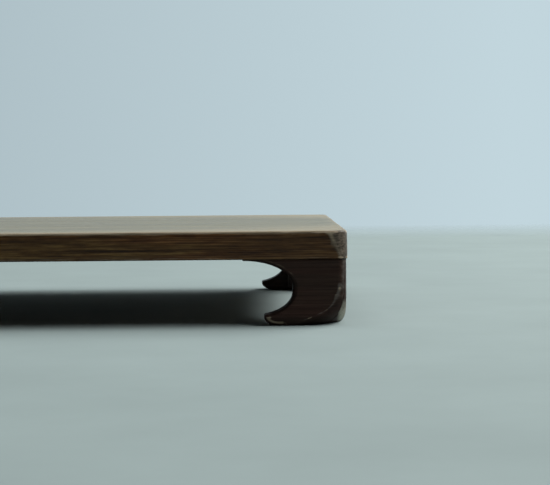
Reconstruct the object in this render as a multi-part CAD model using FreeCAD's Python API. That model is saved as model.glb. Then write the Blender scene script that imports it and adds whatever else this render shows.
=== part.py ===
"""A low display stand: a flat board on four scroll-cut bracket feet.

The board is three edge-jointed planks with loose tongues in the joints, held flat by two
sliding-dovetail battens. Each foot is two wings mitred at the outer corner, with a key across
the mitre and a block in the inner corner that is dowelled up into the board.

Millimetres. +Z is up, the origin is on the floor below the board's centre, the front faces -Y
and the length runs along X.
"""
import FreeCAD
import Part
import math
import os

Vector = FreeCAD.Vector

# Board
BOARD_LENGTH = 455.0
BOARD_DEPTH = 273.0
BOARD_THICKNESS = 15.5
BOARD_CORNER_RADIUS = 7.0
TOP_ARRIS_RADIUS = 1.0
UNDER_ARRIS_RADIUS = 0.7
MIDDLE_PLANK_WIDTH = 91.0

# Loose tongues in the two edge joints, in the wood above the dovetail housings
TONGUE_THICKNESS = 4.0
TONGUE_WIDTH = 12.0
TONGUE_END_MARGIN = 24.0
TONGUE_OVER_HOUSING = 0.65

# Sliding-dovetail battens beside the corner blocks, pushed in from the rear edge
BATTEN_BLOCK_GAP = 1.3
BATTEN_LIP_WIDTH = 16.0
BATTEN_LIP_DROP = 4.0
BATTEN_LIP_BEVEL = 1.5
BATTEN_FRONT_MARGIN = 30.0
DOVETAIL_NECK = 10.0
DOVETAIL_DEPTH = 5.0
DOVETAIL_ANGLE = 14.0
BATTEN_PEG_DIAMETER = 4.0
BATTEN_PEG_BITE = 9.0

# Feet: the scroll, measured from the foot's outer face and from the floor
FOOT_HEIGHT = 36.0
FOOT_SETBACK = 0.7
WING_THICKNESS = 14.0
WING_LENGTH = 56.4
WING_END_THICKNESS = 0.6
POST_WIDTH = 29.2
THROAT_HEIGHT = 21.5
THROAT_STRAIGHT = 3.4
TOE_REACH = 45.0
TOE_SWEEP = 20.7
TOE_TOP_HEIGHT = 6.1
TOE_NOSE_HEIGHT = 5.0
TOE_NOSE_ROUND = 1.5
TOE_UNDER_LENGTH = 8.5

# Feet: the rounded outer corner, which swells into a worn heel at the floor
CORNER_RADIUS_STEP = 2.0
HEEL_CORNER_RADIUS = 34.0
HEEL_HEIGHT = 22.0
UNDERCUT_HEIGHT = 6.0
HEEL_UNDERCUT = 1.6
TOE_UNDERCUT = 0.6

# Feet: the parts that hold them together and to the board
MITRE_KEY_THICKNESS = 3.0
MITRE_KEY_WIDTH = 10.0
MITRE_KEY_FLOOR_GAP = 7.0
MITRE_KEY_TOP_GAP = 7.0
MITRE_KEY_FROM_INSIDE = 5.6
BLOCK_WIDTH = 13.0
BLOCK_BEVEL = 4.5
BLOCK_FLOOR_GAP = 1.5
DOWEL_DIAMETER = 6.0
DOWEL_FROM_CORNER = 5.0
DOWEL_LENGTH = 28.0
DOWEL_BITE = 9.0
PEG_DIAMETER = 3.0
PEG_ALONG_WING = 20.0
PEG_LENGTH = 19.0
PEG_BITE = 8.0

# Clearances between parts that slide or are driven into each other
JOINT_CLEARANCE = 0.1
END_CLEARANCE = 0.5

# Number of sections that draw the heel's curve
HEEL_SECTIONS = 9

BOARD_TOP = FOOT_HEIGHT + BOARD_THICKNESS
SEAM_HALF = MIDDLE_PLANK_WIDTH / 2
FOOT_CORNER_RADIUS = BOARD_CORNER_RADIUS - CORNER_RADIUS_STEP
BATTEN_INSET = FOOT_SETBACK + WING_THICKNESS + BLOCK_WIDTH + BATTEN_BLOCK_GAP + BATTEN_LIP_WIDTH / 2
BATTEN_X = BATTEN_INSET - BOARD_LENGTH / 2
BATTEN_FRONT = BATTEN_FRONT_MARGIN - BOARD_DEPTH / 2
BATTEN_BOTTOM = FOOT_HEIGHT - BATTEN_LIP_DROP
UP = Vector(0, 0, 1)


def block(low, high):
    """A box between two corners."""
    size = [b - a for a, b in zip(low, high)]
    return Part.makeBox(*size, Vector(*low))


def prism(points, height):
    """A closed polygon of points, extruded straight up by height."""
    wire = Part.makePolygon([Vector(*p) for p in points] + [Vector(*points[0])])
    return Part.Face(wire).extrude(UP * height)


def level_edges(shape, level):
    """The edges of a shape that lie at one height."""
    return [e for e in shape.Edges if all(abs(v.Z - level) < 1e-6 for v in e.Vertexes)]


def mirrored(shape, x_side, y_side):
    """A shape modelled at the front left corner, moved to the corner named by two signs."""
    origin = Vector(0, 0, 0)
    if x_side > 0:
        shape = shape.mirror(origin, Vector(1, 0, 0))
    if y_side > 0:
        shape = shape.mirror(origin, Vector(0, 1, 0))
    return shape


def at_corner(shape):
    """A shape drawn from the foot's outer corner, moved to the front left corner of the board."""
    moved = shape.copy()
    moved.translate(Vector(FOOT_SETBACK - BOARD_LENGTH / 2, FOOT_SETBACK - BOARD_DEPTH / 2, 0))
    return moved


CORNERS = {
    "front_left": (-1, -1),
    "front_right": (1, -1),
    "rear_left": (-1, 1),
    "rear_right": (1, 1),
}


# Board

def whole_board():
    """The board before it is sawn into planks, with its corners and arrises rounded."""
    half_x, half_y = BOARD_LENGTH / 2, BOARD_DEPTH / 2
    board = block((-half_x, -half_y, FOOT_HEIGHT), (half_x, half_y, BOARD_TOP))
    upright = [e for e in board.Edges if abs(e.tangentAt(e.FirstParameter).z) > 0.5]
    board = board.makeFillet(BOARD_CORNER_RADIUS, upright)
    for level, radius in ((BOARD_TOP, TOP_ARRIS_RADIUS), (FOOT_HEIGHT, UNDER_ARRIS_RADIUS)):
        board = board.makeFillet(radius, level_edges(board, level))
    return board


def tongue_solid(side, clearance):
    """The loose tongue in one of the two edge joints, or its groove when given a clearance."""
    half_length = BOARD_LENGTH / 2 - TONGUE_END_MARGIN
    half_width = TONGUE_WIDTH / 2 + clearance
    bottom = FOOT_HEIGHT + DOVETAIL_DEPTH + TONGUE_OVER_HOUSING + JOINT_CLEARANCE
    end = half_length + (END_CLEARANCE if clearance else 0)
    return block(
        (-end, side * SEAM_HALF - half_width, bottom - clearance),
        (end, side * SEAM_HALF + half_width, bottom + TONGUE_THICKNESS + clearance),
    )


def dovetail(clearance):
    """A batten's tongue at the left end, or its housing when given a clearance."""
    flare = DOVETAIL_DEPTH * math.tan(math.radians(DOVETAIL_ANGLE))
    neck = DOVETAIL_NECK / 2 + clearance
    front = BATTEN_FRONT - (END_CLEARANCE if clearance else 0)
    rear = BOARD_DEPTH / 2 - (0 if clearance else UNDER_ARRIS_RADIUS)
    top = FOOT_HEIGHT + DOVETAIL_DEPTH + clearance
    section = [
        (BATTEN_X - neck, front, FOOT_HEIGHT),
        (BATTEN_X + neck, front, FOOT_HEIGHT),
        (BATTEN_X + neck + flare, front, top),
        (BATTEN_X - neck - flare, front, top),
    ]
    wire = Part.makePolygon([Vector(*p) for p in section] + [Vector(*section[0])])
    return Part.Face(wire).extrude(Vector(0, rear - front, 0))


def batten():
    """The left batten: a dovetail tongue with a bevelled lip under the board."""
    half = BATTEN_LIP_WIDTH / 2
    rear = BOARD_DEPTH / 2 - FOOT_SETBACK - WING_THICKNESS - END_CLEARANCE
    lip = block((BATTEN_X - half, BATTEN_FRONT, BATTEN_BOTTOM), (BATTEN_X + half, rear, FOOT_HEIGHT))
    lip = lip.makeChamfer(BATTEN_LIP_BEVEL, level_edges(lip, BATTEN_BOTTOM))
    whole = lip.fuse(dovetail(0)).removeSplitter()
    return whole.cut(batten_peg_solid(JOINT_CLEARANCE))


def batten_peg_solid(clearance):
    """The peg that locks the left batten to the middle plank, or its hole."""
    length = BATTEN_LIP_DROP + BATTEN_PEG_BITE + (END_CLEARANCE if clearance else 0)
    foot = Vector(BATTEN_X, 0, BATTEN_BOTTOM)
    return Part.makeCylinder(BATTEN_PEG_DIAMETER / 2 + clearance, length, foot)


def planks():
    """The front, middle and rear planks, with every groove, housing and hole cut in them."""
    board = whole_board()
    cuts = [tongue_solid(side, JOINT_CLEARANCE) for side in (-1, 1)]
    for x_side in (-1, 1):
        cuts.append(mirrored(dovetail(JOINT_CLEARANCE), x_side, -1))
        cuts.append(mirrored(batten_peg_solid(JOINT_CLEARANCE), x_side, -1))
    for signs in CORNERS.values():
        cuts.append(mirrored(at_corner(dowel_solid(JOINT_CLEARANCE)), *signs))
        for peg in peg_solids(JOINT_CLEARANCE):
            cuts.append(mirrored(at_corner(peg), *signs))
    for cut in cuts:
        board = board.cut(cut)
    edges = (-BOARD_DEPTH / 2, -SEAM_HALF, SEAM_HALF, BOARD_DEPTH / 2)
    half_x = BOARD_LENGTH / 2
    sawn = {}
    for name, low, high in zip(("front", "middle", "rear"), edges, edges[1:]):
        slab = block((-half_x, low, FOOT_HEIGHT), (half_x, high, BOARD_TOP))
        sawn[f"top_{name}_plank"] = board.common(slab)
    return sawn


# Feet, drawn from the outer corner: the first axis runs along the board's long edge, the second
# along its end, both inwards

def ellipse_arc(centre, reach, rise, start, end):
    """Part of an upright ellipse in the XZ plane, between two angles in degrees."""
    along, up = Vector(reach, 0, 0), Vector(0, 0, rise)
    middle = Vector(centre[0], 0, centre[1])

    def point(angle):
        turn = math.radians(angle)
        return middle + along * math.cos(turn) + up * math.sin(turn)

    if reach >= rise:
        curve = Part.Ellipse(point(0), point(90), middle)
    else:
        curve = Part.Ellipse(point(90), point(180), middle)
    first, last = curve.parameter(point(start)), curve.parameter(point(end))
    if last < first:
        last += 2 * math.pi
    return Part.Edge(curve, first, last)


def scroll_face():
    """The outline of a wing, seen from outside: a post that sweeps into a wing above and a toe below."""
    wing_rise = FOOT_HEIGHT - WING_END_THICKNESS - THROAT_HEIGHT
    wing_sweep = WING_LENGTH - POST_WIDTH
    toe_top = TOE_REACH - TOE_NOSE_ROUND
    throat_low = THROAT_HEIGHT - THROAT_STRAIGHT
    sweep_centre = POST_WIDTH + TOE_SWEEP
    toe_angle = math.acos((sweep_centre - toe_top) / TOE_SWEEP)
    toe_drop = (throat_low - TOE_TOP_HEIGHT) / math.sin(toe_angle)
    nose_rise = TOE_TOP_HEIGHT - TOE_NOSE_HEIGHT
    sole_end = TOE_REACH - TOE_UNDER_LENGTH
    corners = {
        "heel": Vector(0, 0, 0),
        "sole_end": Vector(sole_end, 0, 0),
        "throat_low": Vector(POST_WIDTH, 0, throat_low),
        "throat_high": Vector(POST_WIDTH, 0, THROAT_HEIGHT),
        "wing_low": Vector(WING_LENGTH, 0, FOOT_HEIGHT - WING_END_THICKNESS),
        "wing_high": Vector(WING_LENGTH, 0, FOOT_HEIGHT),
        "top": Vector(0, 0, FOOT_HEIGHT),
    }

    def line(a, b):
        return Part.LineSegment(corners[a], corners[b]).toShape()

    edges = [
        line("heel", "sole_end"),
        ellipse_arc((sole_end, TOE_NOSE_HEIGHT), TOE_UNDER_LENGTH, TOE_NOSE_HEIGHT, 270, 360),
        ellipse_arc((toe_top, TOE_NOSE_HEIGHT), TOE_NOSE_ROUND, nose_rise, 0, 90),
        ellipse_arc((sweep_centre, throat_low), TOE_SWEEP, toe_drop, 180, 180 + math.degrees(toe_angle)),
        line("throat_low", "throat_high"),
        ellipse_arc((WING_LENGTH, THROAT_HEIGHT), wing_sweep, wing_rise, 90, 180),
        line("wing_low", "wing_high"),
        line("wing_high", "top"),
        line("top", "heel"),
    ]
    return Part.Face(Part.Wire(Part.__sortEdges__(edges)))


def heel_section(height):
    """The foot's outline at a height, with its outer corner rounded and its faces drawn in at the floor."""
    sweep = 1 - height / HEEL_HEIGHT
    radius = FOOT_CORNER_RADIUS + (HEEL_CORNER_RADIUS - FOOT_CORNER_RADIUS) * sweep ** 3
    drawn_in = max(0, 1 - height / UNDERCUT_HEIGHT) ** 2
    near, far = HEEL_UNDERCUT * drawn_in, TOE_UNDERCUT * drawn_in
    slope = math.atan2(near - far, WING_LENGTH - near)
    half_angle = math.pi / 4 + slope
    tangent = radius / math.tan(half_angle)
    centre = near + radius / math.sin(half_angle) / math.sqrt(2)
    crown = centre - radius / math.sqrt(2)
    along = near + tangent * math.cos(slope)
    across = near - tangent * math.sin(slope)
    inner = WING_LENGTH
    path = [(along, across), (inner, far), (inner, inner), (far, inner), (across, along)]
    points = [Vector(x, y, height) for x, y in path]
    edges = [Part.LineSegment(a, b).toShape() for a, b in zip(points, points[1:])]
    edges.append(Part.Arc(points[-1], Vector(crown, crown, height), points[0]).toShape())
    return Part.Wire(edges)


def foot_envelope():
    """Everything inside the foot's outer faces: a straight upper part on a rounded heel."""
    turns = [math.pi / 2 * i / (HEEL_SECTIONS - 1) for i in range(HEEL_SECTIONS)]
    heel = Part.makeLoft([heel_section(HEEL_HEIGHT * (1 - math.cos(t))) for t in turns], True)
    upper = Part.Face(heel_section(HEEL_HEIGHT)).extrude(UP * (FOOT_HEIGHT - HEEL_HEIGHT))
    return heel.fuse(upper)


def long_wing():
    """The wing under the board's long edge, mitred where it meets the other."""
    blank = scroll_face().extrude(Vector(0, WING_THICKNESS, 0))
    mitre = prism([(0, 0, 0), (WING_LENGTH, 0, 0), (WING_LENGTH, WING_LENGTH, 0)], FOOT_HEIGHT)
    wing = blank.common(mitre).common(foot_envelope())
    wing = wing.cut(mitre_key_solid(JOINT_CLEARANCE))
    return wing.cut(peg_solids(JOINT_CLEARANCE)[0])


def swapped(shape):
    """The same shape with its two level axes exchanged, which turns a long wing into an end wing."""
    return shape.mirror(Vector(0, 0, 0), Vector(1, -1, 0))


def mitre_key_solid(clearance):
    """The key across the mitre, standing square to the joint, or its slot."""
    centre = WING_THICKNESS - MITRE_KEY_FROM_INSIDE
    half_thickness = MITRE_KEY_THICKNESS / 2 + clearance
    half_width = MITRE_KEY_WIDTH / 2 + clearance
    end = END_CLEARANCE if clearance else 0
    key = block(
        (-half_width, -half_thickness, MITRE_KEY_FLOOR_GAP - end),
        (half_width, half_thickness, FOOT_HEIGHT - MITRE_KEY_TOP_GAP + end),
    )
    key.rotate(Vector(0, 0, 0), UP, -45)
    key.translate(Vector(centre, centre, 0))
    return key


def corner_block():
    """The block in the inner corner, bevelled where it faces the middle, with its dowel hole."""
    near, far = WING_THICKNESS, WING_THICKNESS + BLOCK_WIDTH
    outline = [(near, near), (far, near), (far, far - BLOCK_BEVEL), (far - BLOCK_BEVEL, far), (near, far)]
    points = [(x, y, BLOCK_FLOOR_GAP) for x, y in outline]
    return prism(points, FOOT_HEIGHT - BLOCK_FLOOR_GAP).cut(dowel_solid(JOINT_CLEARANCE))


def dowel_solid(clearance):
    """The dowel from the corner block up into the board, or its hole."""
    centre = WING_THICKNESS + DOWEL_FROM_CORNER
    end = END_CLEARANCE if clearance else 0
    bottom = FOOT_HEIGHT + DOWEL_BITE - DOWEL_LENGTH - end
    return Part.makeCylinder(
        DOWEL_DIAMETER / 2 + clearance, DOWEL_LENGTH + 2 * end, Vector(centre, centre, bottom)
    )


def peg_solids(clearance):
    """The pegs from the long wing and the end wing up into the board, or their holes."""
    end = END_CLEARANCE if clearance else 0
    bottom = FOOT_HEIGHT + PEG_BITE - PEG_LENGTH - end
    middle = WING_THICKNESS / 2
    places = ((PEG_ALONG_WING, middle), (middle, PEG_ALONG_WING))
    return [
        Part.makeCylinder(PEG_DIAMETER / 2 + clearance, PEG_LENGTH + 2 * end, Vector(x, y, bottom))
        for x, y in places
    ]


# The whole stand

def stand():
    """Every node of the stand by name."""
    nodes = planks()
    nodes["top_front_tongue"] = tongue_solid(-1, 0)
    nodes["top_rear_tongue"] = tongue_solid(1, 0)
    nodes["left_batten"] = batten()
    nodes["right_batten"] = mirrored(batten(), 1, -1)
    nodes["batten_pegs"] = Part.Compound([mirrored(batten_peg_solid(0), side, -1) for side in (-1, 1)])
    wing = long_wing()
    foot_pieces = {
        "foot_long_wing": wing,
        "foot_end_wing": swapped(wing),
        "mitre_key": mitre_key_solid(0),
        "corner_block": corner_block(),
    }
    for corner, signs in CORNERS.items():
        for piece, shape in foot_pieces.items():
            nodes[f"{corner}_{piece}"] = mirrored(at_corner(shape), *signs)
    nodes["block_dowels"] = Part.Compound(
        [mirrored(at_corner(dowel_solid(0)), *signs) for signs in CORNERS.values()]
    )
    nodes["wing_pegs"] = Part.Compound(
        [mirrored(at_corner(peg), *signs) for signs in CORNERS.values() for peg in peg_solids(0)]
    )
    return nodes


def main():
    os.makedirs("parts", exist_ok=True)
    for name, shape in stand().items():
        solids = shape.Solids
        if not solids or not all(s.isValid() and s.isClosed() for s in solids):
            raise ValueError(f"{name} is not made of closed solids")
        shape.exportStep(f"parts/{name}.step")
        volume = sum(s.Volume for s in solids)
        print(f"{name}: {len(solids)} solid(s), {volume:.1f} mm3")


main()
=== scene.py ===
"""The display stand as it looks: worn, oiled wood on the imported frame, on a pale floor in soft light."""
import math

import bmesh
import bpy
import numpy as np
from mathutils import Matrix, Vector, noise
from mathutils.bvhtree import BVHTree


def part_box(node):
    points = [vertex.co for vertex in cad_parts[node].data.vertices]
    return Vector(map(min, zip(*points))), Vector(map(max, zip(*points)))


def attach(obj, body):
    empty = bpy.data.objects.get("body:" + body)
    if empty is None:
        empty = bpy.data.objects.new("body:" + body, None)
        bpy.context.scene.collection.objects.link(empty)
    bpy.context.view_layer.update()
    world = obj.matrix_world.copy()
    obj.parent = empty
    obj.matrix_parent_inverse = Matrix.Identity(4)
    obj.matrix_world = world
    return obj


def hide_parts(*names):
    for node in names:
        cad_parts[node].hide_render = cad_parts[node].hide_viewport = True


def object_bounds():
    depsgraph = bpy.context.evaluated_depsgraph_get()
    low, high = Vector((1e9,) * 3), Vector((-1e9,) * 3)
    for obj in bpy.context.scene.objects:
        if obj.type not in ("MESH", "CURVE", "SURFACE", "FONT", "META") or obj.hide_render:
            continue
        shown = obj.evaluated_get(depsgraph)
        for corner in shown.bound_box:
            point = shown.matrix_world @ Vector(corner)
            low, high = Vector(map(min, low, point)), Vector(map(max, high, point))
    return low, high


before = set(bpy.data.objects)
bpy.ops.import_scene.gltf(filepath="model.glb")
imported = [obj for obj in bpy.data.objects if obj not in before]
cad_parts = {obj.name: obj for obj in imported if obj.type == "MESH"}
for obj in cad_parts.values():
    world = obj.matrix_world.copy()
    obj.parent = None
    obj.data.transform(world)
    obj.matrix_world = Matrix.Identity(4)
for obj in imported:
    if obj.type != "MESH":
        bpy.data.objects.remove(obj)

CAD_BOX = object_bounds()
HALF_SIZE = np.array(CAD_BOX[1][:2])
MM = 0.001

PLANKS = ("top_front_plank", "top_middle_plank", "top_rear_plank")
CORNERS = ("front_left", "front_right", "rear_left", "rear_right")
WINGS = ("foot_long_wing", "foot_end_wing")
BATTENS = ("left_batten", "right_batten")
HIDDEN_ENDINGS = ("_tongue", "_mitre_key", "_dowels")
PEG_ENDING = "_pegs"

# How far apart two seeds lie in the noise. An uneven value is a mean, and waves of a size and a strength
SEED_STEP = (7.13, 3.71, 5.37)

# The camera, fitted to the edges in the photograph: in metres, degrees and millimetres of lens
CAMERA_PLACE = (0.17773, -1.04323, 0.08959)
CAMERA_TURN = 0.657
CAMERA_DOWN = 2.792
CAMERA_ROLL = -0.481
CAMERA_LENS = 110.16
SENSOR_WIDTH = 36.0

# The stage in metres: a pale floor that fades out far behind, a pale backdrop that is brighter to the right
# as painted light, and dim in front
FLOOR_NEAR = -3.0
FLOOR_FADE = (0.88, 1.26)
FLOOR_HALF_WIDTH = 4.0
FLOOR_COLOUR = (0.40, 0.49, 0.485)
FLOOR_ROUGHNESS = 0.85
MOTTLES_PER_METRE = 9.0
MOTTLE_SPAN = (0.3, 0.7)
MOTTLE_SHADES = (0.95, 1.05)
BACKDROP_COLOUR = (0.50, 0.62, 0.67)
BACKDROP_LIT_SHADES = (0.86, 1.08)
BACKDROP_LIT_SPAN = (-0.15, 0.15)
FRONT_COLOUR = (0.12, 0.125, 0.13)
OVERHEAD_SHARE = 0.6
BEHIND_SPAN = (-0.2, 0.6)
WORLD_LIGHT = 0.10

# Cuts that let the planks take wear: along them, in from the sides, up from the foot, down from the top
PLANK_STEP = 2.5 * MM
SIDE_CUTS = np.array((1.4, 2.2, 4.0, 8.0)) * MM
LOWER_CUTS = np.array((1.0, 1.3, 1.7, 2.3, 3.2, 5.0)) * MM
UPPER_CUTS = np.array((1.4, 1.9, 2.6, 3.6, 5.0)) * MM
JOIN_GAP = 0.002 * MM
CUT_GAP = 0.001 * MM
SHARP_ANGLE = 40.0

# The board's upright corners: radius as cut and as worn, and how rubbed each is, by its signs in X and Y
BOARD_CORNER = 7.0 * MM
CORNER_LOW = 5.2 * MM
CORNER_HIGH = 9.2 * MM
CORNER_REACH = 14.0 * MM
CORNER_DEPTH = 6.0 * MM
CORNER_RUB = {(1, -1): 1.0, (-1, -1): 0.6, (1, 1): 0.75, (-1, 1): 0.45}
CORNER_SWAY = (0.0, ((5.0 * MM, 0.8 * MM),))
CORNER_SEED = 3
CORNER_WORN = (-1.0 * MM, 3.0 * MM)
CORNER_LINE = -0.6 * MM
CORNER_LINE_WIDTH = 1.6 * MM
CORNER_LINE_LOW = 0.4
CORNER_LINE_PALE = 0.8
LEAST_LENGTH = 1e-9

# The board's arrises: how deep and unevenly they are rubbed, and how pale, as wear and a painted highlight
ARRIS_REACH = 2.5 * MM
ARRIS_WEAR = 0.3 * MM
ARRIS_RUB = (0.5, ((35.0 * MM, 0.55), (8.0 * MM, 0.3)))
ARRIS_SEEDS = (1, 11, 21)
LEAST_RUB = 0.1
LOWER_WEAR = 0.6
ARRIS_SPAN = (0.25, 0.75)
ARRIS_PALE = 0.55
ARRIS_RUB_PALE = 0.7
UPPER_FADE = 2.0 * MM
UPPER_PALE = 0.75
EDGE_SKIN = (0.6 * MM, 1.5 * MM)

# The thin painted highlight above the board's lower arris, with wear: clearest where that is rubbed and
# near its ends
UNDER_LINE = 1.0 * MM
UNDER_LINE_WIDTH = 0.5 * MM
UNDER_REACH = 55.0 * MM
UNDER_PALE = 0.1
UNDER_RUB_PALE = 0.5
UNDER_END_PALE = 0.1
UNDER_MOST = 0.8

# Painted shade under the board's edge, and grime in the seams between its planks
UNDER_SHADE = (0.25 * MM, 0.75 * MM)
SEAM_GRIME = 0.8 * MM
SEAM_DARK = 0.8

# The board's top, faded, and paler where hands rub it, and its edges, oiled towards the ends
TOP_SKIN = (0.1 * MM, 0.8 * MM)
HANDLED_REACH = 28.0 * MM
HANDLED_CORNER = 50.0 * MM
CORNER_FADE = 90.0 * MM
HANDLED_SIDE_PALE = 0.65
HANDLED_CORNER_PALE = 0.6
HANDLED_END = 10.0 * MM
HANDLED_END_PALE = 0.5
OILED_REACH = 80.0 * MM

# The meshes of the feet, blocks and battens, and their arrises, eased and nicked away from the joints
FOOT_VOXEL = 0.4 * MM
FOOT_SMOOTHING = 4
BLOCK_VOXEL = 0.6 * MM
BLOCK_SMOOTHING = 3
SMOOTHING_STEP = 0.5
JOINT_FADE = (0.3 * MM, 2.2 * MM)
NICK_DEPTH = 0.15 * MM
NICKS = (0.2, ((6.0 * MM, 1.0),))
NICK_SUNK = (0.03 * MM, 0.25 * MM)
WING_SEED = 0
BLOCK_SEED = 40
BATTEN_SEED = 60

# The faces of a wing's scroll: how square they run through it, and how near its face and its seat
SQUARE_LIMIT = 0.05
FACE_GAP = 1.0 * MM
SEAT_GAP = 0.1 * MM
EDGE_SEARCH = 8.0 * MM

# The bevel planed along a scroll, widest in its throat, over a toe that is undercut a little
EDGE_CUT = 1.1 * MM
CUT_LIMIT = 0.6
SCROLL_START = (14.0 * MM, 22.0 * MM)
THROAT_CUT = 1.3 * MM
THROAT_HEIGHT = 21.0 * MM
THROAT_SPREAD = 6.0 * MM
THROAT_END = (30.0 * MM, 36.0 * MM)
TOE_UNDERCUT = 0.6 * MM
UNDERCUT_HEIGHT = 6.0 * MM
UNDERCUT_POWER = 2
FACE_SKIN = 0.6 * MM

# The pale edge of a toe and its sole, worn and with a painted highlight: where they lie along a wing, and
# the slopes that they have
TOE_START = (33.5 * MM, 35.0 * MM)
TOE_SLOPES = (-0.2, 0.3)
TOE_NOSE = (40.0 * MM, 42.0 * MM)
TOE_TOP = 12.0 * MM
SOLE_START = (22.0 * MM, 33.5 * MM)
SOLE_SLOPES = (-0.6, -0.3)
SOLE_PALE = 0.45
EDGE_LINE = 0.75 * MM
EDGE_LINE_WIDTH = 0.8 * MM

# The heel: the curve of its turn, how rubbed it is at each foot, and its bare end, painted paler towards
# the end face as painted light
FOOT_CORNER = 5.0 * MM
HEEL_CORNER = 34.0 * MM
HEEL_HEIGHT = 22.0 * MM
HEEL_POWER = 3
HEEL_RUB = {"front_left": 0.7, "front_right": 1.0, "rear_left": 0.55, "rear_right": 0.8}
HEEL_TOP = (12.0 * MM, 16.5 * MM)
HEEL_INNER = 0.7
BARE_LIT_DEPTH = (2.6 * MM, 6.5 * MM)
BARE_LIT_RISE = (6.0 * MM, 11.0 * MM)
BARE_LIT_LOSS = 0.4

# Along the turn of the heel: a wandering line with chips in it, inside a broken band of dust
TURN_FOOT = (2.0 * MM, 4.0 * MM)
TURN_TOP = (21.0 * MM, 25.0 * MM)
TURN_SKIN = 2.5 * MM
TURN_PULL = 1.4 * MM
PULL_RISE = (16.0 * MM, 21.0 * MM)
TURN_SWAY = (0.0, ((6.0 * MM, 1.2 * MM),))
LINE_WIDTH = 1.0 * MM
LINE_DUST = 0.34
CHIPS = (0.0, ((3.0 * MM, 1.5),))
CHIP_SEED = 2
CHIP_MOST = 0.8
CHIP_PALE = 1.2
BAND_WIDTH = 2.2 * MM
BAND_BREAKS = (0.55, ((5.0 * MM, 1.1),))
BAND_SEED = 3
BAND_RISE = (11.0 * MM, 18.0 * MM)
BAND_LOW = 0.62
BAND_GAIN = 0.18
BAND_DUST = 0.8

# The foot's upright corner: a pale line on the mitre, and a strip of painted sheen, fuller towards the
# board
MITRE_LINE = 0.4 * MM
MITRE_PALE = 0.4
STRIP_PLACE = 1.4 * MM
STRIP_WIDTH = 1.5 * MM
STRIP_WIDER = 0.7 * MM
STRIP_RISE = (23.0 * MM, 30.0 * MM)
STRIP_BREAKS = (0.6, ((np.array((20.0, 20.0, 9.0)) * MM, 0.5),))
STRIP_SEED = 5
STRIP_FULLER = 0.4
STRIP_LEAST = 0.1
STRIP_SHEEN = 0.65

# Painted shade on a foot: in the bevel and on the scroll, less in the throat and on the toe, along the
# floor and on the heel
BEVEL_EDGE = (-0.15 * MM, 0.1 * MM)
INNER_EDGE = (0.2 * MM, 0.5 * MM)
THROAT_LESS_SHADE = 0.7
TOE_LESS_SHADE = 0.45
BEVEL_SHADE = 0.9
FLOOR_LINE = (0.8 * MM, 2.2 * MM)
FLOOR_LINE_SHADE = 0.6
HEEL_SHADE = 0.6

# The log of each plank: how far its pith lies beside the plank's middle, its height, and which stretch
PLANK_LOGS = ((22.0 * MM, -30.0 * MM, 6), (-30.0 * MM, 125.0 * MM, 2), (12.0 * MM, -45.0 * MM, 3))

# The logs of the other pieces: the pith's place, beside the piece except for blocks, and the first stretch
WING_PITH = (-55.0 * MM, -20.0 * MM)
WING_LOG = 11
BLOCK_PITH = (160.0 * MM, 90.0 * MM)
BLOCK_LOG = 31
BATTEN_PITH = (40.0 * MM, -20.0 * MM)
BATTEN_LOG = 51
LOG_STRETCH = 0.731
GRAIN_AXES = ((0, 1, 2), (1, 0, 2), (2, 0, 1))

# Each part of a wood's figure: how many to the metre along and across the grain, its detail and roughness
FIGURE_PARTS = {
    "wander": (4.0, 45.0, 2.0, 0.5),
    "drift": (2.2, 9.0, 2.0, 0.5),
    "blotches": (20.0, 260.0, 3.0, 0.6),
    "fibres": (14.0, 1250.0, 3.0, 0.65),
    "streaks": (85.0, 1000.0, 3.0, 0.6),
    "bands": (3.0, 32.0, 2.0, 0.5),
    "ruddy": (11.0, 120.0, 3.0, 0.5),
    "smoky": (15.0, 440.0, 2.0, 0.5),
    "vessels": (90.0, 2600.0, 1.0, 0.5),
    "patches": (110.0, 420.0, 4.0, 0.7),
}
RING_SHIFTS = {"wander": 4.0 * MM, "drift": 16.0 * MM}

# The figure of each wood: the width of its rings and the share of each part of its tone
BOARD_FIGURE = (2.4 * MM, {"rings": 0.18, "blotches": 0.14, "fibres": 0.34, "streaks": 0.26, "bands": 0.08})
FOOT_FIGURE = (1.2 * MM, {"rings": 0.2, "blotches": 0.15, "fibres": 0.4, "streaks": 0.15, "bands": 0.1})
PLAIN_FIGURE = (2.0 * MM, {"rings": 0.4, "fibres": 0.35, "streaks": 0.25})

# How the woods take red and dark streaks, pores, sheen, and grime and painted shade: spans of noise, shares
# and depths
RUDDY_SPAN = (0.44, 0.6, 0.0, 0.8)
SMOKY_SPAN = (0.58, 0.7, 0.0, 0.65)
PORE_SPAN = (0.63, 0.72)
PORE_DARK = 0.4
FIBRE_SPAN = (0.35, 0.65)
SHEEN_SPREAD = 0.05
PATCH_SHARE = 0.9
PATCH_SPAN = (0.75, 1.1)
GRIME_AND_SHADE_TINT = (0.30, 0.32, 0.34)
GRIME_AND_SHADE_SHARE = 0.9
GRIME_AND_SHADE_MATT = 0.3
FIBRE_RELIEF = 0.5
BUMP_STRENGTH = 0.35
BUMP_DEPTH = 0.06 * MM

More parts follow.
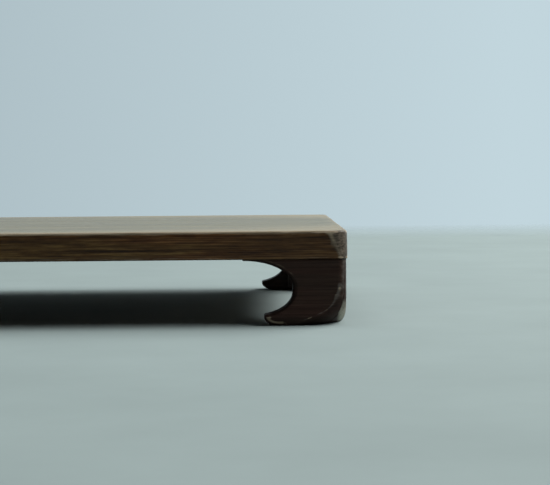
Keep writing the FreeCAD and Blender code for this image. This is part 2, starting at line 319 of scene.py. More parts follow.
# The colours of each wood, of its wear and of its painted light and shade, from the darkest tone to the
# palest
BOARD_STOPS = (
    (0.42, (0.027, 0.012, 0.005)),
    (0.465, (0.069, 0.031, 0.010)),
    (0.525, (0.126, 0.064, 0.020)),
    (0.58, (0.226, 0.132, 0.045)),
)
OILED_STOPS = (
    (0.42, (0.024, 0.010, 0.005)),
    (0.50, (0.083, 0.037, 0.013)),
    (0.58, (0.155, 0.078, 0.031)),
)
FADED_STOPS = (
    (0.42, (0.108, 0.077, 0.025)),
    (0.50, (0.212, 0.159, 0.054)),
    (0.58, (0.338, 0.256, 0.096)),
)
HANDLED_STOPS = (
    (0.42, (0.280, 0.195, 0.074)),
    (0.58, (0.485, 0.350, 0.155)),
)
RUBBED_STOPS = (
    (0.42, (0.036, 0.028, 0.021)),
    (0.48, (0.094, 0.076, 0.058)),
    (0.55, (0.156, 0.127, 0.097)),
    (0.64, (0.280, 0.228, 0.170)),
)
WORN_AND_HIGHLIGHT_STOPS = (
    (0.40, (0.31, 0.235, 0.155)),
    (0.52, (0.46, 0.365, 0.26)),
    (0.62, (0.58, 0.48, 0.36)),
)
FOOT_STOPS = (
    (0.38, (0.018, 0.008, 0.006)),
    (0.46, (0.032, 0.016, 0.011)),
    (0.54, (0.044, 0.024, 0.017)),
    (0.62, (0.068, 0.041, 0.030)),
)
DUST_AND_SHEEN_STOPS = (
    (0.40, (0.098, 0.082, 0.072)),
    (0.60, (0.194, 0.169, 0.150)),
)
WORN_AND_HIGHLIGHT_FOOT_STOPS = (
    (0.40, (0.22, 0.17, 0.11)),
    (0.52, (0.35, 0.275, 0.195)),
    (0.62, (0.45, 0.37, 0.28)),
)
BARE_AND_LIT_STOPS = (
    (0.40, (0.25, 0.24, 0.19)),
    (0.60, (0.50, 0.48, 0.39)),
)
# Painted shade: the inner blocks' wood is darkened for their shadow under the board, and the hidden pieces
# share it
INNER_SHADE_STOPS = (
    (0.38, (0.014, 0.008, 0.005)),
    (0.50, (0.030, 0.018, 0.011)),
    (0.64, (0.052, 0.033, 0.021)),
)
BAMBOO_STOPS = (
    (0.30, (0.20, 0.13, 0.06)),
    (0.50, (0.33, 0.23, 0.12)),
    (0.70, (0.42, 0.31, 0.17)),
)
BOARD_BLUSH = (1.06, 0.80, 0.82)
FOOT_BLUSH = (1.15, 0.85, 0.85)

# Each layer of wear and painted light: where it is kept on a mesh, its colours, its share and how matt it
# is
BOARD_LAYERS = (
    ("oiled", OILED_STOPS, 0.9, 0.0),
    ("faded", FADED_STOPS, 0.9, 0.0),
    ("handled", HANDLED_STOPS, 1.0, 0.0),
    ("rubbed", RUBBED_STOPS, 0.9, 0.15),
    ("wear_and_highlight", WORN_AND_HIGHLIGHT_STOPS, 0.9, 0.12),
)
FOOT_LAYERS = (
    ("dust_and_sheen", DUST_AND_SHEEN_STOPS, 0.9, 0.05),
    ("wear_and_highlight", WORN_AND_HIGHLIGHT_FOOT_STOPS, 0.9, 0.12),
    ("bare_and_lit", BARE_AND_LIT_STOPS, 0.9, 0.2),
)


# Numbers and noise

def ramp(values, low, high):
    """0 below low, 1 above high and a smooth rise between."""
    part = np.clip((values - low) / (high - low), 0, 1)
    return part * part * (3 - 2 * part)


def fall(values, low, high):
    """1 below low, 0 above high and a smooth fall between."""
    return 1 - ramp(values, low, high)


def bell(values, width):
    """1 where a value is 0, fading on both sides of it."""
    return np.exp(-(values / width) ** 2)


def noise_at(points, size, seed):
    """Smooth noise from about -1 to 1 at each point, with features of about the given size in metres."""
    shift = Vector([seed * step for step in SEED_STEP])
    return np.array([noise.noise(Vector(point) + shift) for point in points / size])


def uneven(points, mean, waves, seed):
    """A value that varies about its mean, by waves of noise that each have a size and a strength."""
    values = np.full(len(points), mean)
    for number, (size, strength) in enumerate(waves):
        values += strength * noise_at(points, size, seed + number)
    return values


# Meshes

def points_of(mesh):
    """A mesh's points as an array of rows."""
    flat = np.empty(len(mesh.vertices) * 3)
    mesh.vertices.foreach_get("co", flat)
    return flat.reshape(-1, 3)


def normals_of(mesh):
    """A mesh's point normals as an array of rows."""
    flat = np.empty(len(mesh.vertices) * 3)
    mesh.vertices.foreach_get("normal", flat)
    return flat.reshape(-1, 3)


def set_points(mesh, points):
    """Moves a mesh's points to new places."""
    mesh.vertices.foreach_set("co", points.ravel())
    mesh.update()


def store(mesh, name, values):
    """Keeps one number or one vector per point on the mesh, for its material."""
    kind, field = ("FLOAT", "value") if values.ndim == 1 else ("FLOAT_VECTOR", "vector")
    layer = mesh.attributes.new(name, kind, "POINT")
    layer.data.foreach_set(field, np.ascontiguousarray(values).ravel())


def store_grain(mesh, axis, pith, stretch):
    """The wood's own axes at each point: along the grain first, then two across it from the pith."""
    places = points_of(mesh)[:, GRAIN_AXES[axis]]
    store(mesh, "grain", places - np.array((stretch * LOG_STRETCH, *pith)))


def shade_smooth(mesh):
    """Shades a mesh smooth, without the normals that came with the CAD node."""
    if "custom_normal" in mesh.attributes:
        mesh.attributes.remove(mesh.attributes["custom_normal"])
    mesh.shade_smooth()


def add_to_scene(name, data):
    """A new object in the scene that shows a mesh, lamp or camera."""
    made = bpy.data.objects.new(name, data)
    bpy.context.scene.collection.objects.link(made)
    return made


def new_piece(name, mesh, node, material):
    """A piece that stands for a CAD node, rides on the stand and takes the material that it is given."""
    piece = add_to_scene(name, mesh)
    mesh.name = name
    mesh.materials.clear()
    mesh.materials.append(material)
    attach(piece, "root")
    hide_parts(node)


# Planks

def slice_mesh(edit, axis, places):
    """Cuts an edited mesh across an axis at each place."""
    normal = Vector([float(i == axis) for i in range(3)])
    for place in places:
        geometry = edit.verts[:] + edit.edges[:] + edit.faces[:]
        plane = {"plane_co": normal * place, "plane_no": normal}
        bmesh.ops.bisect_plane(edit, geom=geometry, dist=CUT_GAP, **plane)


def plank_mesh(node):
    """A copy of a plank, cut finely enough to take wear along its outer arrises."""
    low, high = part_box(node)
    edit = bmesh.new()
    edit.from_mesh(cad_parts[node].data)
    bmesh.ops.remove_doubles(edit, verts=edit.verts, dist=JOIN_GAP)
    count = int((high[0] - low[0]) / PLANK_STEP)
    slice_mesh(edit, 0, np.linspace(low[0], high[0], count)[1:-1])
    slice_mesh(edit, 1, SIDE_CUTS - HALF_SIZE[1])
    slice_mesh(edit, 1, HALF_SIZE[1] - SIDE_CUTS)
    slice_mesh(edit, 1, (low[1] + SEAM_GRIME, high[1] - SEAM_GRIME))
    slice_mesh(edit, 2, low[2] + LOWER_CUTS)
    slice_mesh(edit, 2, high[2] - UPPER_CUTS)
    mesh = bpy.data.meshes.new(node)
    edit.to_mesh(mesh)
    edit.free()
    shade_smooth(mesh)
    mesh.set_sharp_from_angle(angle=math.radians(SHARP_ANGLE))
    return mesh


def board_places(points):
    """How far points lie in from the board's ends and sides, below its top and above its foot."""
    from_end, from_side = (HALF_SIZE - np.abs(points[:, :2])).T
    height = points[:, 2]
    return from_end, from_side, height.max() - height, height - height.min()


def corner_shift(inset, radius):
    """How far points move inwards where a corner gets a new radius, and which share of that each takes."""
    from_centre = BOARD_CORNER - inset
    length = np.maximum(np.linalg.norm(from_centre, axis=1), LEAST_LENGTH)
    turned = (radius - BOARD_CORNER)[:, None] * (1 - from_centre / length[:, None])
    stretch = (CORNER_REACH - radius) / (CORNER_REACH - BOARD_CORNER)
    straight = radius[:, None] + (inset - BOARD_CORNER) * stretch[:, None] - inset
    in_corner = (inset < BOARD_CORNER).all(axis=1)
    beside = ~in_corner & (inset < CORNER_REACH).all(axis=1)
    along = inset > inset[:, ::-1]
    shift = np.where(in_corner[:, None], turned, np.where(along, straight, 0.0))
    depth = np.where(in_corner, BOARD_CORNER - length, inset.min(axis=1))
    return shift, fall(depth, 0, CORNER_DEPTH) * (in_corner | beside)


def reshaped_corners(points):
    """The board's points with new upright corners, how worn these are and where their turns begin."""
    _, _, upper, lower = board_places(points)
    lift = lower / (lower + upper)
    sway = uneven(points, *CORNER_SWAY, CORNER_SEED)
    moved = points.copy()
    worn = np.zeros(len(points))
    line = np.zeros(len(points))
    for sign, rub in CORNER_RUB.items():
        inset = HALF_SIZE - points[:, :2] * sign
        radius_above = BOARD_CORNER + rub * (CORNER_HIGH - BOARD_CORNER)
        radius = CORNER_LOW + (radius_above - CORNER_LOW) * lift
        shift, share = corner_shift(inset, radius)
        moved[:, :2] -= shift * share[:, None] * sign
        reach = inset.max(axis=1) - radius + sway
        worn += rub * fall(reach, *CORNER_WORN) * share
        clear = CORNER_LINE_LOW + (1 - CORNER_LINE_LOW) * lift
        line += rub * bell(reach - CORNER_LINE, CORNER_LINE_WIDTH) * clear * share
    return moved, worn, line


def handled_share(from_end, from_side):
    """How much hands have rubbed the top: along its edges, widest and palest towards its corners."""
    near_corner = np.exp(-from_end / CORNER_FADE)
    pale = HANDLED_SIDE_PALE + HANDLED_CORNER_PALE * near_corner
    along_side = pale * bell(from_side, HANDLED_REACH + HANDLED_CORNER * near_corner)
    return np.maximum(along_side, HANDLED_END_PALE * bell(from_end, HANDLED_END))


def seam_share(points, side):
    """How near points lie to a seam between planks, away from the board's edge."""
    place = points[:, 1]
    from_seam = np.minimum(place - place.min(), place.max() - place)
    return fall(from_seam, 0, SEAM_GRIME) * (side > 2 * SEAM_GRIME)


def mark_plank_wear_and_light(mesh, seed):
    """Rounds the board's upright corners, rubs down its arrises unevenly, tells where it is worn, and where
    painted highlights and painted shade go.
    """
    points, worn, corner_line = reshaped_corners(points_of(mesh))
    from_end, from_side, upper, lower = board_places(points)
    side = np.minimum(from_end, from_side)
    rub = uneven(points, *ARRIS_RUB, seed)
    near_top = fall(np.hypot(side, upper), 0, ARRIS_REACH)
    near_foot = fall(np.hypot(side, lower), 0, ARRIS_REACH)
    depth = ARRIS_WEAR * (near_top + LOWER_WEAR * near_foot) * np.clip(rub, LEAST_RUB, 1)
    set_points(mesh, points - normals_of(mesh) * depth[:, None])

    outside = fall(side, *EDGE_SKIN)
    # The arrises are pale from wear and from a painted highlight
    arris = ramp(near_top, *ARRIS_SPAN) * np.clip(ARRIS_PALE + ARRIS_RUB_PALE * rub, 0, 1)
    arris = np.maximum(arris, UPPER_PALE * bell(upper, UPPER_FADE) * outside)
    # A painted highlight above the lower arris, with wear: paler where rubbed and near the ends
    pale = UNDER_PALE + UNDER_RUB_PALE * (rub + worn) + UNDER_END_PALE * bell(from_end, UNDER_REACH)
    under_highlight = bell(lower - UNDER_LINE, UNDER_LINE_WIDTH) * outside * np.clip(pale, 0, UNDER_MOST)
    store(mesh, "wear_and_highlight", np.clip(arris + under_highlight + CORNER_LINE_PALE * corner_line, 0, 1))
    # Painted shade along the underside's edge, above the shadowed floor; the seams keep real grime
    under_shade = outside * fall(lower, *UNDER_SHADE)
    store(mesh, "grime_and_shade", np.maximum(under_shade, SEAM_DARK * seam_share(points, side)))
    store(mesh, "rubbed", np.clip(worn, 0, 1))
    store(mesh, "oiled", outside * bell(from_end, OILED_REACH))
    top = fall(upper, *TOP_SKIN)
    store(mesh, "faded", top)
    store(mesh, "handled", top * handled_share(from_end, from_side))


# Feet, blocks and battens

def even_mesh(node, voxel):
    """A copy of a CAD node with its surface in small even faces."""
    source = add_to_scene(node + "_source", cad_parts[node].data)
    remesh = source.modifiers.new("even", "REMESH")
    remesh.mode = "VOXEL"
    remesh.voxel_size = voxel
    graph = bpy.context.evaluated_depsgraph_get()
    mesh = bpy.data.meshes.new_from_object(source.evaluated_get(graph))
    bpy.data.objects.remove(source)
    shade_smooth(mesh)
    return mesh


def smoothed(mesh, points, weight, rounds):
    """Points drawn towards the mean of their neighbours, as far as each weight allows."""
    pairs = np.empty(len(mesh.edges) * 2, dtype=np.int64)
    mesh.edges.foreach_get("vertices", pairs)
    starts, ends = pairs.reshape(-1, 2).T
    count = np.bincount(pairs, minlength=len(points))[:, None]
    moved = points.copy()
    for _ in range(rounds):
        total = np.zeros_like(moved)
        np.add.at(total, starts, moved[ends])
        np.add.at(total, ends, moved[starts])
        moved += SMOOTHING_STEP * weight[:, None] * (total / count - moved)
    return moved


def ease_arrises(mesh, weight, rounds, seed):
    """Rounds a piece's arrises a little and nicks them, as far as each point's weight allows."""
    points = points_of(mesh)
    moved = smoothed(mesh, points, weight, rounds)
    normals = normals_of(mesh)
    sunk = np.einsum("ij,ij->i", points - moved, normals)
    nicks = np.clip(uneven(points, *NICKS, seed), 0, 1) * ramp(sunk, *NICK_SUNK)
    set_points(mesh, moved - normals * (NICK_DEPTH * nicks * weight)[:, None])


def foot_corner(corner):
    """The outer corner of a foot, and the signs that point inwards from it along X and Y."""
    end_low, end_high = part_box(f"{corner}_foot_end_wing")
    long_low, long_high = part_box(f"{corner}_foot_long_wing")
    right, rear = "right" in corner, "rear" in corner
    x = end_high[0] if right else end_low[0]
    y = long_high[1] if rear else long_low[1]
    return np.array((x, y)), np.array((-1 if right else 1, -1 if rear else 1))


def wing_axes(mesh, corner, axis):
    """Each point's place on a wing: along it from the outer corner, in from its face, and up."""
    points = points_of(mesh)
    outer, inwards = foot_corner(corner)
    local = (points[:, :2] - outer) * inwards
    return local[:, axis], local[:, 1 - axis], points[:, 2]


def joint_clear(mesh, corner, axis):
    """0 where a wing meets the board or the other wing, rising to 1 away from those joints."""
    along, across, height = wing_axes(mesh, corner, axis)
    from_mitre = np.abs(along - across) / math.sqrt(2)
    from_seat = height.max() - height
    return ramp(np.minimum(from_mitre, from_seat), *JOINT_FADE)


def scroll_tree(node, corner, axis):
    """The scroll and the sole of a wing as a tree to search: the faces that run square through it."""
    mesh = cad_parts[node].data
    outer, inwards = foot_corner(corner)
    through = 1 - axis
    places = [vertex.co.copy() for vertex in mesh.vertices]
    top = max(place.z for place in places)
    faces = []
    for polygon in mesh.polygons:
        ends = [places[i] for i in polygon.vertices]
        square = abs(polygon.normal[through]) < SQUARE_LIMIT
        at_face = min((end[through] - outer[through]) * inwards[through] for end in ends) < FACE_GAP
        at_seat = min(end.z for end in ends) > top - SEAT_GAP
        if square and at_face and not at_seat:
            faces.append(tuple(polygon.vertices))
    return BVHTree.FromPolygons(places, faces)


def nearest_scroll(points, along, tree):
    """How far points lie from a wing's scroll, and which way its nearest face looks."""
    from_edge = np.full(len(points), EDGE_SEARCH)
    outwards = np.zeros_like(points)
    for i in np.flatnonzero(along > SCROLL_START[0]):
        place, normal, _, distance = tree.find_nearest(Vector(points[i]), EDGE_SEARCH)
        if place is not None:
            from_edge[i] = distance
            outwards[i] = normal
    return from_edge, outwards


def plane_scroll(mesh, node, corner, axis):
    """Planes a bevel along a scroll; tells how far past it points lie, its painted shade and the scroll's
    slope.
    """
    along, across, height = wing_axes(mesh, corner, axis)
    points = points_of(mesh)
    from_edge, outwards = nearest_scroll(points, along, scroll_tree(node, corner, axis))
    depth = across - TOE_UNDERCUT * np.clip(1 - height / UNDERCUT_HEIGHT, 0, 1) ** UNDERCUT_POWER
    throat = bell(height - THROAT_HEIGHT, THROAT_SPREAD) * fall(along, *THROAT_END)
    size = (EDGE_CUT + THROAT_CUT * throat) * ramp(along, *SCROLL_START)
    size = np.minimum(size, CUT_LIMIT * (height.max() - height + from_edge))
    over = size - depth - from_edge
    cut = np.clip(over, 0, None) / 2
    _, inwards = foot_corner(corner)
    moved = points - outwards * cut[:, None]
    moved[:, 1 - axis] += inwards[1 - axis] * cut
    set_points(mesh, moved)
    beyond = np.where(depth < FACE_SKIN, from_edge - size, EDGE_SEARCH)
    # Painted shade in the bevel and on the scroll's faces, which lie in shadow under the board
    bevel = ramp(over, *BEVEL_EDGE) * (1 - THROAT_LESS_SHADE * throat)
    return beyond, np.maximum(bevel, fall(from_edge, *INNER_EDGE)), outwards[:, 2]


def heel_curve(height):
    """How far the turn of the corner reaches along a wing at each height."""
    below = np.clip(1 - height / HEEL_HEIGHT, 0, 1)
    return FOOT_CORNER + (HEEL_CORNER - FOOT_CORNER) * below ** HEEL_POWER


def toe_wear_and_highlight(along, height, beyond, slope):
    """How pale the edge of a wing's toe and sole is, as wear and a painted highlight, and which points are
    the toe's.
    """
    toe = ramp(along, *TOE_START) * fall(slope, *TOE_SLOPES)
    toe = np.maximum(toe, ramp(along, *TOE_NOSE)) * (height < TOE_TOP)
    sole = ramp(along, *SOLE_START) * fall(slope, *SOLE_SLOPES)
    return bell(beyond - EDGE_LINE, EDGE_LINE_WIDTH) * np.maximum(toe, SOLE_PALE * sole), toe


def turn_wear(points, along, across, height, seed):
    """The chips and the dust along the turn of the heel, on the face of a wing."""
    beside = ramp(height, *TURN_FOOT) * fall(height, *TURN_TOP) * (across < TURN_SKIN)
    centre = heel_curve(height) - TURN_PULL * ramp(height, *PULL_RISE)
    from_turn = along - centre + uneven(points, *TURN_SWAY, seed)
    line = beside * bell(from_turn, LINE_WIDTH)
    chips = line * np.clip(uneven(points, *CHIPS, seed + CHIP_SEED), 0, CHIP_MOST)
    broken = np.clip(uneven(points, *BAND_BREAKS, seed + BAND_SEED), 0, 1)
    broken *= BAND_LOW + BAND_GAIN * ramp(height, *BAND_RISE)
    band = beside * broken * bell(from_turn, BAND_WIDTH)
    return chips, BAND_DUST * band + LINE_DUST * line


def sheen_strip(points, along, height, seed):
    """The strip of painted sheen beside a foot's upright corner."""
    high = ramp(height, *STRIP_RISE)
    full = uneven(points, *STRIP_BREAKS, seed) + STRIP_FULLER * high
    return bell(along - STRIP_PLACE, STRIP_WIDTH + STRIP_WIDER * high) * np.clip(full, STRIP_LEAST, 1)


def mark_foot_wear_and_light(mesh, corner, axis, beyond, bevel, slope):
    """Tells where a wing is rubbed pale and takes a painted highlight, where its heel is bare and painted
    lighter towards its lit end, where it has dust and a painted sheen, and where it takes painted shade.
    """
    along, across, height = wing_axes(mesh, corner, axis)
    points = points_of(mesh)
    seed = len(corner)
    rub = HEEL_RUB[corner]
    curve = heel_curve(height)
    outside = across < curve
    low = fall(height, *HEEL_TOP)

    # The toe's pale edge is wear with a painted highlight
    toe_edge, toe = toe_wear_and_highlight(along, height, beyond, slope)
    chips, turn_dust = turn_wear(points, along, across, height, seed + axis)
    mitre_line = bell((along - across) / math.sqrt(2), MITRE_LINE) * outside * (1 - low)
    store(mesh, "wear_and_highlight", np.clip(toe_edge + CHIP_PALE * rub * chips + MITRE_PALE * mitre_line, 0, 1))

    heel = fall(along, HEEL_INNER * curve, curve) * low * outside
    # Bare wood on the end wing's heel, painted paler towards the end face as painted light from that side
    on_end_wing = axis == 1
    bare_and_lit = heel * fall(across, *BARE_LIT_DEPTH) * on_end_wing * (1 - BARE_LIT_LOSS * ramp(height, *BARE_LIT_RISE))
    store(mesh, "bare_and_lit", rub * bare_and_lit)

    # Dust along the turn of the heel, and a painted sheen in the strip beside the upright corner
    strip = sheen_strip(points, along, height, seed + STRIP_SEED) * outside * (1 - low)
    store(mesh, "dust_and_sheen", np.clip(STRIP_SHEEN * strip + rub * turn_dust, 0, 1))

    # Painted shade in the bevel, along the floor line and on the heel
    grime_and_shade = BEVEL_SHADE * bevel * (1 - TOE_LESS_SHADE * toe) + FLOOR_LINE_SHADE * fall(height, *FLOOR_LINE)
    store(mesh, "grime_and_shade", np.clip(grime_and_shade + HEEL_SHADE * heel * (1 - bare_and_lit), 0, 1))


# Materials

class Nodes:
    """A node tree, with short calls for the nodes that the woods and the stage use."""

    def __init__(self, tree):
        self.tree = tree

    def node(self, kind, inputs=(), **settings):
        """A new node, with its settings, and its inputs linked or set."""
        made = self.tree.nodes.new(kind)
        for key, value in settings.items():
            setattr(made, key, value)
        for key, value in dict(inputs).items():
            self.put(made.inputs[key], value)
        return made

    def put(self, socket, value):
        """Links a socket to another one, or sets its value."""
        if isinstance(value, bpy.types.NodeSocket):
            self.tree.links.new(value, socket)
        else:
            socket.default_value = value

    def attribute(self, name, output):
        """What is kept on a mesh under a name."""
        return self.node("ShaderNodeAttribute", attribute_name=name).outputs[output]

    def place(self, output):
        """The place of a point, or for a world the way to it."""
        return self.node("ShaderNodeTexCoord").outputs[output]

    def math(self, operation, first, second):
        """Two numbers joined by an operation."""
        return self.node("ShaderNodeMath", {0: first, 1: second}, operation=operation).outputs[0]

    def stretch(self, vector, scale):
        """A vector with each axis scaled."""
        return self.node("ShaderNodeVectorMath", {0: vector, 1: scale}, operation="MULTIPLY").outputs[0]

    def axes(self, vector):
        """The three axes of a vector apart."""
        return self.node("ShaderNodeSeparateXYZ", {"Vector": vector}).outputs

    def noise(self, vector, detail, roughness):
        """Smooth noise in space."""
        values = {"Vector": vector, "Scale": 1.0, "Detail": detail, "Roughness": roughness}
        return self.node("ShaderNodeTexNoise", values).outputs["Fac"]

    def line_noise(self, place, detail, roughness):
        """Smooth noise along one number."""
        values = {"W": place, "Scale": 1.0, "Detail": detail, "Roughness": roughness}
        return self.node("ShaderNodeTexNoise", values, noise_dimensions="1D").outputs["Fac"]

    def span(self, value, low, high, to_low=0.0, to_high=1.0):
        """A number moved from one span to another and held inside it."""
        values = {"Value": value, "From Min": low, "From Max": high, "To Min": to_low, "To Max": to_high}
        return self.node("ShaderNodeMapRange", values, clamp=True).outputs[0]

    def colours(self, value, stops):
        """A number turned into a colour between stops."""
        made = self.node("ShaderNodeValToRGB", {"Fac": value})
        elements = made.color_ramp.elements
        while len(elements) < len(stops):
            elements.new(0.5)
        for element, (place, colour) in zip(elements, stops):
            element.position = place
            element.color = (*colour, 1.0)
        return made.outputs["Color"]

    def mix(self, share, first, second, blend="MIX"):
        """Two colours mixed."""
        made = self.node("ShaderNodeMix", data_type="RGBA", blend_type=blend)
        self.put(made.inputs["Factor"], share)
        for name, value in (("A", first), ("B", second)):
            socket = next(one for one in made.inputs if one.name == name and one.type == "RGBA")
            self.put(socket, value if isinstance(value, bpy.types.NodeSocket) else (*value, 1.0))
        return next(one for one in made.outputs if one.type == "RGBA")


def new_material(name):
    """An empty material, its nodes and its shader."""
    material = bpy.data.materials.new(name)
    material.use_nodes = True
    return material, Nodes(material.node_tree), material.node_tree.nodes["Principled BSDF"]


def shades(colour, factors):
    """A darker and a lighter shade of a colour."""
    return [tuple(factor * part for part in colour) for factor in factors]


def figure_part(nodes, grain, name):
    """One part of a wood's figure: noise drawn out along the grain."""
    along, across, detail, roughness = FIGURE_PARTS[name]
    return nodes.noise(nodes.stretch(grain, (along, across, across)), detail, roughness)


def growth_rings(nodes, grain, ring_width):
    """The rings round the pith of the log, which wander from true circles."""
    axes = nodes.axes(grain)
    squares = [nodes.math("POWER", axes[name], 2.0) for name in ("Y", "Z")]
    radius = nodes.math("POWER", nodes.math("ADD", *squares), 0.5)
    for name, most in RING_SHIFTS.items():
        shift = nodes.math("MULTIPLY", figure_part(nodes, grain, name), most)
        radius = nodes.math("ADD", radius, shift)
    return nodes.line_noise(nodes.math("DIVIDE", radius, ring_width), detail=3.0, roughness=0.6)


def wood_tone(nodes, grain, ring_width, shares):
    """The figure of the wood, as light and dark about one half, and its fibres alone."""
    parts = {name: figure_part(nodes, grain, name) for name in shares if name != "rings"}
    parts["rings"] = growth_rings(nodes, grain, ring_width)
    tone = 0.0
    for name, share in shares.items():
        tone = nodes.math("ADD", nodes.math("MULTIPLY", parts[name], share), tone)
    return tone, parts["fibres"]


def add_wear_and_painted_light(nodes, colour, roughness, grain, tone, layers):
    """Lays each layer of wear and painted light over a wood, in broken patches, then the grime and painted
    shade.
    """
    patches = nodes.math("MULTIPLY", figure_part(nodes, grain, "patches"), PATCH_SHARE)
    for layer, stops, share, matt in layers:
        amount = nodes.attribute(layer, "Fac")
        broken = nodes.span(nodes.math("ADD", patches, amount), *PATCH_SPAN)
        amount = nodes.math("MULTIPLY", nodes.math("MULTIPLY", amount, broken), share)
        colour = nodes.mix(amount, colour, nodes.colours(tone, stops))
        roughness = nodes.math("ADD", roughness, nodes.math("MULTIPLY", amount, matt))
    # Real grime in the board's seams, and painted shade everywhere else that this mask covers
    grime_and_shade = nodes.attribute("grime_and_shade", "Fac")
    dark = nodes.mix(1.0, colour, GRIME_AND_SHADE_TINT, "MULTIPLY")
    colour = nodes.mix(nodes.math("MULTIPLY", grime_and_shade, GRIME_AND_SHADE_SHARE), colour, dark)
    roughness = nodes.math("ADD", roughness, nodes.math("MULTIPLY", grime_and_shade, GRIME_AND_SHADE_MATT))
    return colour, roughness


def wood(name, stops, blush, figure, matt, specular, layers=(), in_log=True):
    """Hardwood: figure, reddish and dark streaks, pores and, on pieces that know their log, wear with
    painted light and shade.
    """
    material, nodes, shader = new_material(name)
    grain = nodes.attribute("grain", "Vector") if in_log else nodes.place("Object")
    tone, fibres = wood_tone(nodes, grain, *figure)
    darkest = stops[0][1]
    colour = nodes.colours(tone, stops)
    ruddy = nodes.span(figure_part(nodes, grain, "ruddy"), *RUDDY_SPAN)
    colour = nodes.mix(ruddy, colour, nodes.mix(1.0, colour, blush, "MULTIPLY"))
    smoky = nodes.span(figure_part(nodes, grain, "smoky"), *SMOKY_SPAN)
    colour = nodes.mix(smoky, colour, darkest)
    pores = nodes.span(figure_part(nodes, grain, "vessels"), *PORE_SPAN)
    colour = nodes.mix(nodes.math("MULTIPLY", pores, PORE_DARK), colour, darkest)
    roughness = nodes.span(fibres, *FIBRE_SPAN, matt - SHEEN_SPREAD, matt + SHEEN_SPREAD)
    if in_log:
        colour, roughness = add_wear_and_painted_light(nodes, colour, roughness, grain, tone, layers)
    relief = nodes.math("SUBTRACT", nodes.math("MULTIPLY", fibres, FIBRE_RELIEF), pores)
    values = {"Height": relief, "Strength": BUMP_STRENGTH, "Distance": BUMP_DEPTH}
    bump = nodes.node("ShaderNodeBump", values)
    nodes.put(shader.inputs["Base Color"], colour)
    nodes.put(shader.inputs["Roughness"], roughness)
    nodes.put(shader.inputs["Normal"], bump.outputs["Normal"])
    shader.inputs["Specular IOR Level"].default_value = specular
    return material


def floor_plaster():
    """A matt pale surface with a faint mottle, that fades out at its far edge."""
    material, nodes, shader = new_material("floor")
    place = nodes.place("Object")
    mottle = nodes.noise(nodes.stretch(place, [MOTTLES_PER_METRE] * 3), detail=6.0, roughness=0.6)
    darker, lighter = shades(FLOOR_COLOUR, MOTTLE_SHADES)
    colour = nodes.mix(nodes.span(mottle, *MOTTLE_SPAN), darker, lighter)
    nodes.put(shader.inputs["Base Color"], colour)
    shader.inputs["Roughness"].default_value = FLOOR_ROUGHNESS
    gone = nodes.span(nodes.axes(place)["Y"], *FLOOR_FADE)
    clear = nodes.node("ShaderNodeBsdfTransparent").outputs[0]
    surface = nodes.node("ShaderNodeMixShader", {0: gone, 1: shader.outputs[0], 2: clear}).outputs[0]
    nodes.put(material.node_tree.nodes["Material Output"].inputs["Surface"], surface)
    return material


# The stand

def make_plank(number, material):
    """One plank of the board, with the figure of its own log."""
    node = PLANKS[number]
    mesh = plank_mesh(node)
    low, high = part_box(node)
    beside, height, stretch = PLANK_LOGS[number]
    store_grain(mesh, 0, ((low[1] + high[1]) / 2 + beside, height), stretch)
    mark_plank_wear_and_light(mesh, ARRIS_SEEDS[number])
    new_piece(node + "_worn", mesh, node, material)


def make_wing(corner, axis, number, material):
    """One wing of a foot, along X or along Y, with its scroll planed and its arrises eased."""
    node = f"{corner}_{WINGS[axis]}"
    mesh = even_mesh(node, FOOT_VOXEL)
    outer, inwards = foot_corner(corner)
    beside, height = WING_PITH
    store_grain(mesh, axis, (outer[1 - axis] + beside * inwards[1 - axis], height), WING_LOG + number)
    weight = joint_clear(mesh, corner, axis)
    mark_foot_wear_and_light(mesh, corner, axis, *plane_scroll(mesh, node, corner, axis))
    ease_arrises(mesh, weight, FOOT_SMOOTHING, WING_SEED + number)
    new_piece(node + "_worn", mesh, node, material)


def make_block(corner, number, material):
    """The block in the inner corner of a foot, with its arrises eased."""
    node = f"{corner}_corner_block"
    mesh = even_mesh(node, BLOCK_VOXEL)
    store_grain(mesh, 2, BLOCK_PITH, BLOCK_LOG + number)
    ease_arrises(mesh, np.ones(len(mesh.vertices)), BLOCK_SMOOTHING, BLOCK_SEED + number)
    new_piece(node + "_eased", mesh, node, material)


def make_batten(number, material):
    """One batten under the board, with its arrises eased."""
    node = BATTENS[number]
    mesh = even_mesh(node, BLOCK_VOXEL)
    low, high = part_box(node)
    beside, height = BATTEN_PITH
    store_grain(mesh, 1, ((low[0] + high[0]) / 2 + beside, height), BATTEN_LOG + number)
    ease_arrises(mesh, np.ones(len(mesh.vertices)), BLOCK_SMOOTHING, BATTEN_SEED + number)
    new_piece(node + "_eased", mesh, node, material)


def finish_inner_nodes(hidden_wood, peg_wood):
    """Gives the tongues, keys, dowels and pegs their woods, as the CAD nodes that they are."""
    for node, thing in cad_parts.items():
        hidden = node.endswith(HIDDEN_ENDINGS)
        if hidden or node.endswith(PEG_ENDING):
            thing.data.materials.clear()
            thing.data.materials.append(hidden_wood if hidden else peg_wood)


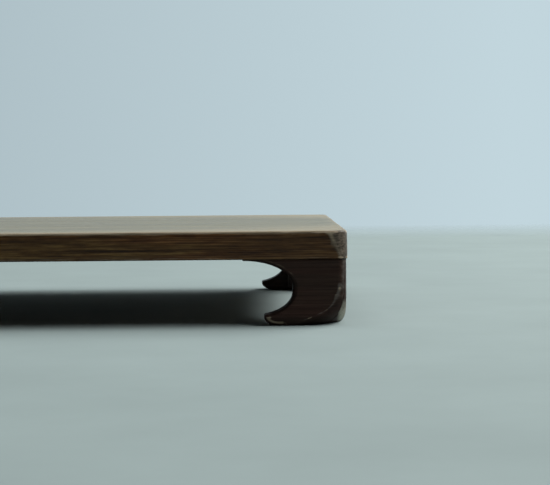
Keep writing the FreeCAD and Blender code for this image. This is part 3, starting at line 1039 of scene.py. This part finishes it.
def make_stand():
    """All the pieces of the stand, in their woods."""
    board_wood = wood("board_wood", BOARD_STOPS, BOARD_BLUSH, BOARD_FIGURE,
                      matt=0.27, specular=0.2, layers=BOARD_LAYERS)
    foot_wood = wood("foot_wood", FOOT_STOPS, FOOT_BLUSH, FOOT_FIGURE,
                     matt=0.38, specular=0.14, layers=FOOT_LAYERS)
    batten_wood = wood("batten_wood", BOARD_STOPS, BOARD_BLUSH, PLAIN_FIGURE, matt=0.5, specular=0.2)
    inner_wood = wood("inner_wood", INNER_SHADE_STOPS, BOARD_BLUSH, PLAIN_FIGURE, matt=0.6, specular=0.2)
    hidden_wood = wood("hidden_wood", INNER_SHADE_STOPS, BOARD_BLUSH, PLAIN_FIGURE,
                       matt=0.6, specular=0.2, in_log=False)
    bamboo = wood("bamboo", BAMBOO_STOPS, BOARD_BLUSH, PLAIN_FIGURE,
                  matt=0.55, specular=0.25, in_log=False)
    for number in range(len(PLANKS)):
        make_plank(number, board_wood)
    for number, corner in enumerate(CORNERS):
        for axis in range(len(WINGS)):
            make_wing(corner, axis, number * len(WINGS) + axis, foot_wood)
        make_block(corner, number, inner_wood)
    for number in range(len(BATTENS)):
        make_batten(number, batten_wood)
    finish_inner_nodes(hidden_wood, bamboo)


# Stage, light and camera

def lay_floor():
    """The floor, as one flat sheet."""
    mesh = bpy.data.meshes.new("floor")
    side, near, far = FLOOR_HALF_WIDTH, FLOOR_NEAR, FLOOR_FADE[1]
    corners = [(-side, near, 0), (side, near, 0), (side, far, 0), (-side, far, 0)]
    mesh.from_pydata(corners, [], [range(len(corners))])
    mesh.materials.append(floor_plaster())
    add_to_scene("floor", mesh)


def light_world():
    """The world: a pale backdrop behind and above, brighter to the right as painted light, dim in front,
    and pale all round to the camera.
    """
    world = bpy.data.worlds.new("studio")
    world.use_nodes = True
    nodes = Nodes(world.node_tree)
    way = nodes.axes(nodes.place("Generated"))
    overhead = nodes.math("MULTIPLY", way["Z"], OVERHEAD_SHARE)
    behind = nodes.span(nodes.math("ADD", way["Y"], overhead), *BEHIND_SPAN)
    rays = nodes.node("ShaderNodeLightPath").outputs
    seen = nodes.math("MAXIMUM", rays["Is Camera Ray"], rays["Is Glossy Ray"])
    seen = nodes.math("MAXIMUM", seen, rays["Is Transmission Ray"])
    # Painted light: the backdrop brighter towards the right
    backdrop = nodes.mix(nodes.span(way["X"], *BACKDROP_LIT_SPAN), *shades(BACKDROP_COLOUR, BACKDROP_LIT_SHADES))
    around = nodes.mix(behind, FRONT_COLOUR, backdrop)
    background = world.node_tree.nodes["Background"]
    nodes.put(background.inputs["Color"], nodes.mix(rays["Is Camera Ray"], around, backdrop))
    nodes.put(background.inputs["Strength"], nodes.span(seen, 0.0, 1.0, WORLD_LIGHT, 1.0))
    bpy.context.scene.world = world


def soft_light(name, place, target, size, power, colour):
    """A large soft lamp at a place, facing a target."""
    lamp = bpy.data.lights.new(name, "AREA")
    lamp.shape = "RECTANGLE"
    lamp.size, lamp.size_y = size
    lamp.energy = power
    lamp.color = colour
    made = add_to_scene(name, lamp)
    made.location = place
    made.rotation_euler = (Vector(target) - Vector(place)).to_track_quat("-Z", "Y").to_euler()


def aim_camera():
    """The camera at the photograph's place, turned right, tipped down and rolled."""
    turn, down, roll = (math.radians(angle) for angle in (CAMERA_TURN, CAMERA_DOWN, CAMERA_ROLL))
    ahead = Vector((math.sin(turn) * math.cos(down), math.cos(turn) * math.cos(down), -math.sin(down)))
    level = Vector((math.cos(turn), -math.sin(turn), 0))
    over = level.cross(ahead)
    right = level * math.cos(roll) + over * math.sin(roll)
    up = over * math.cos(roll) - level * math.sin(roll)
    made = add_to_scene("camera", bpy.data.cameras.new("camera"))
    facing = Matrix((right, up, -ahead)).transposed().to_4x4()
    made.matrix_world = Matrix.Translation(CAMERA_PLACE) @ facing
    made.data.sensor_fit = "HORIZONTAL"
    made.data.sensor_width = SENSOR_WIDTH
    made.data.lens = CAMERA_LENS
    bpy.context.scene.camera = made


make_stand()
lay_floor()
light_world()
soft_light("key", place=(2.4, 0.6, 2.1), target=(0.0, 0.0, 0.03), size=(4.4, 1.0), power=120.0,
           colour=(1.0, 1.0, 0.98))
soft_light("top", place=(0.0, 0.3, 2.4), target=(0.0, 0.0, 0.0), size=(2.0, 1.2), power=13.0,
           colour=(0.98, 1.0, 1.0))
bpy.context.scene.view_settings.view_transform = "Standard"
aim_camera()
